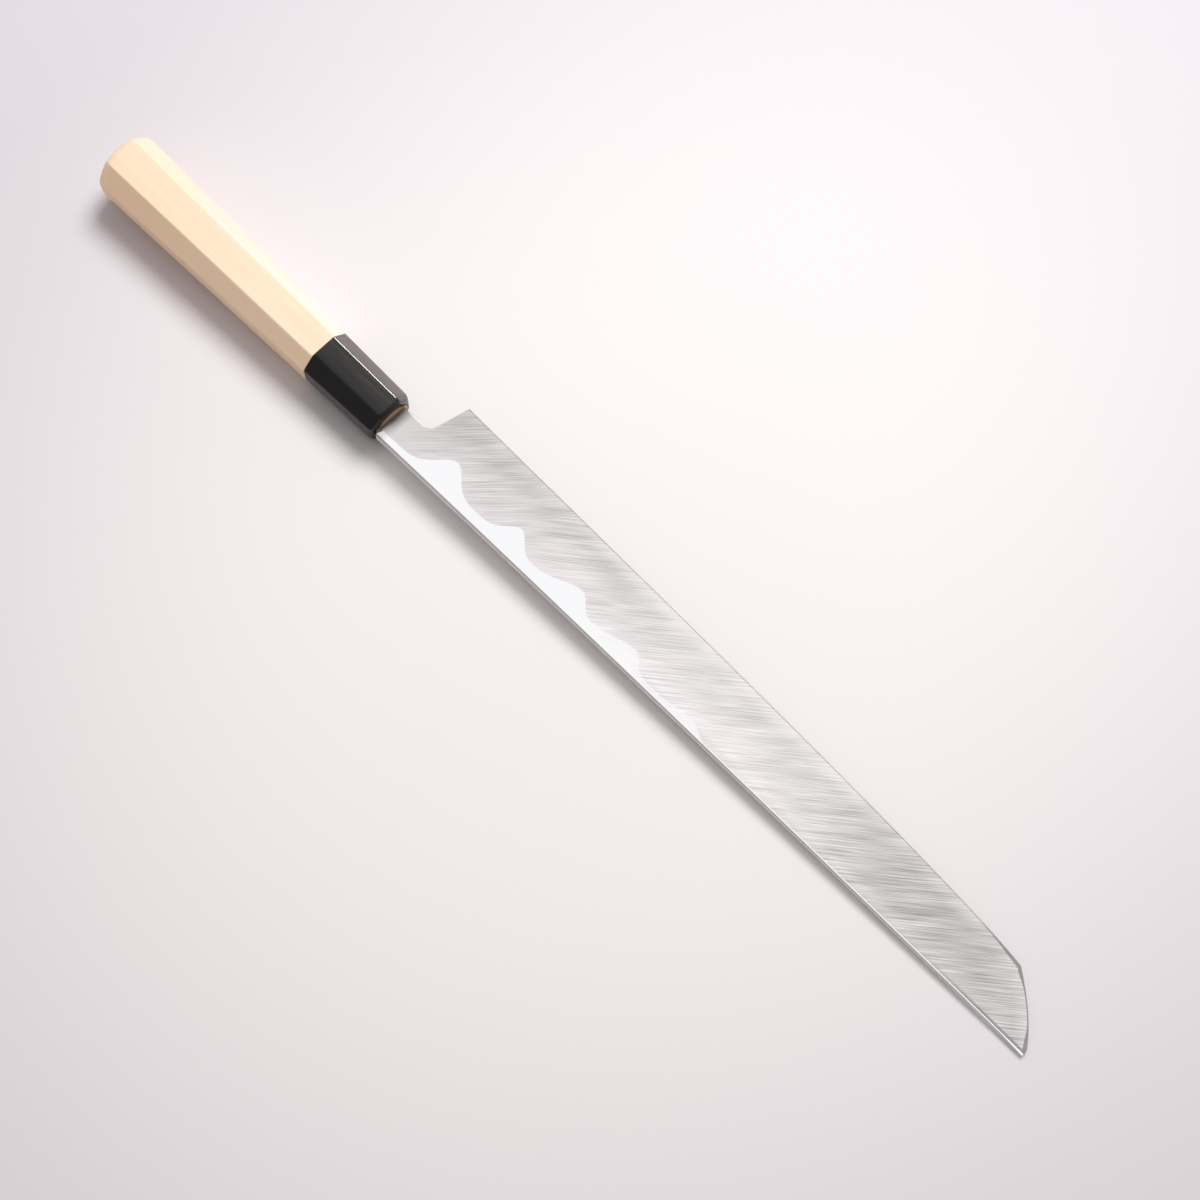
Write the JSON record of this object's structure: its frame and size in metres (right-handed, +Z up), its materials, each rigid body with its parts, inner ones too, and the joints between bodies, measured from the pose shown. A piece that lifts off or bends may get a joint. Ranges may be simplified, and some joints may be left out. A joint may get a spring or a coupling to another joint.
{
  "type": "takobiki knife",
  "caption": "Long Japanese slicing knife with a slim single-bevel blade, hollow-ground back and curved tip, a black horn ferrule and a pale octagonal wooden handle.",
  "frame": {"origin": "centre of the bounding box's bottom, on the table under the middle of the knife", "axes": "+X along the knife from the butt to the tip, +Y from the spine to the cutting edge, +Z up out of the back face, with the knife lying on its front face"},
  "size_m": [0.4544, 0.0348, 0.0231],
  "materials": {
    "edge_steel": "satin hollow with a polished land along the spine",
    "blade_iron": "satin",
    "horn": "polished black horn",
    "handle_wood": "plain sanded pale wood"
  },
  "bodies": {
    "root": {"edge_steel": "edge_steel", "blade_iron": "blade_iron", "horn_ferrule": "horn", "wood_handle": "handle_wood"}
  },
  "joints": []
}
